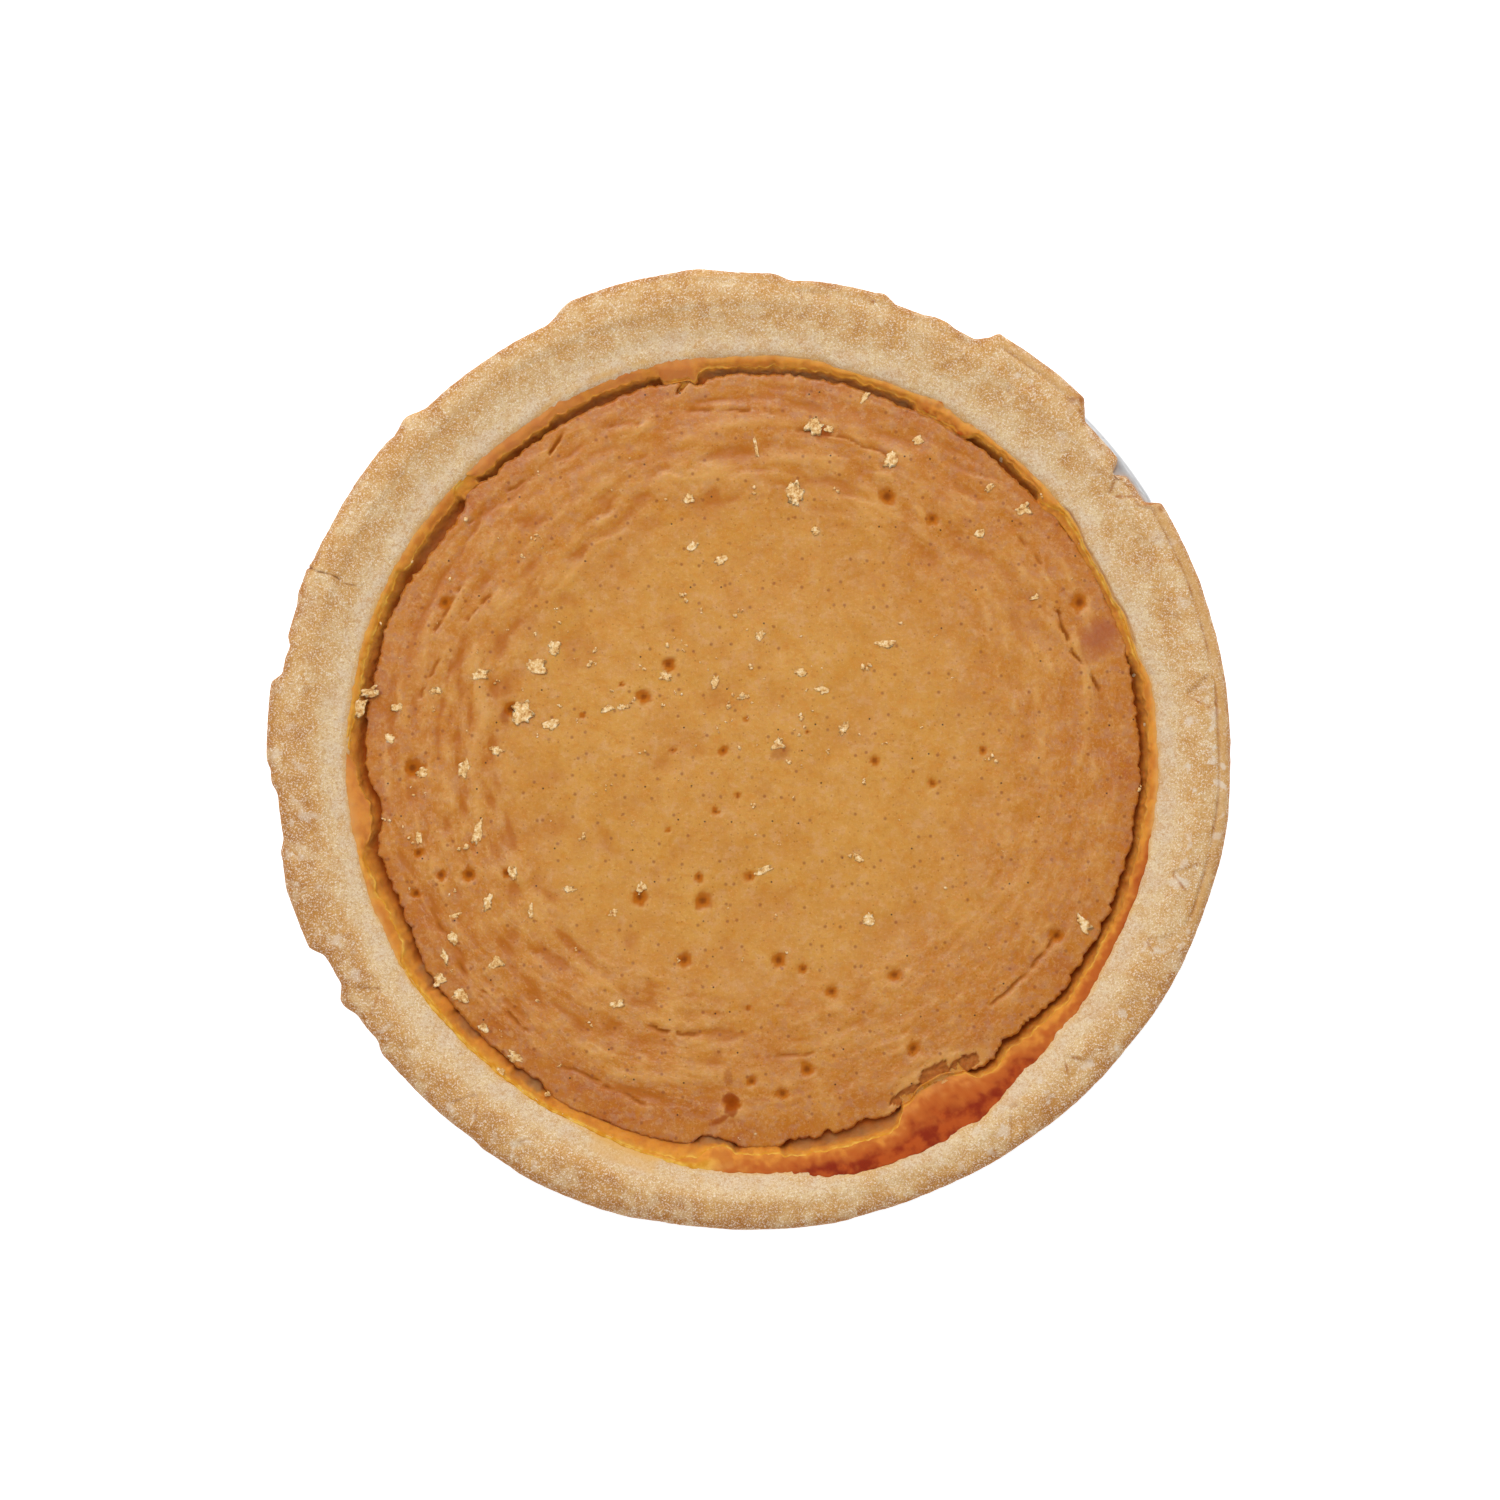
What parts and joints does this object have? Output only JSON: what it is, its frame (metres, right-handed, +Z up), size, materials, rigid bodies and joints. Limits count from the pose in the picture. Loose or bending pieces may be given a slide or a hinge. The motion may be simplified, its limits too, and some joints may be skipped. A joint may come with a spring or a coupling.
{
  "type": "pumpkin pie in a foil tin",
  "caption": "Whole baked pumpkin pie in its round foil tin: pastry rim over the flange, smooth custard with a ring-shaped crack at its edge.",
  "frame": {"origin": "middle of the underside of the tin's base, on the surface it stands on", "axes": "+Z up out of the pie; seen from above with +Y away, the gap in the rim that bares the tin is between +X and +Y"},
  "size_m": [0.2353, 0.2342, 0.0358],
  "materials": {
    "foil": "thin pressed aluminium foil, bright, softly pleated",
    "pastry": "baked shortcrust pastry, dry and matte, browner at its outer edge",
    "custard": "baked pumpkin custard, satin, orange brown with fine spice specks"
  },
  "bodies": {
    "root": {"foil_tin": "foil", "crust": "pastry", "filling": "custard"}
  },
  "joints": []
}
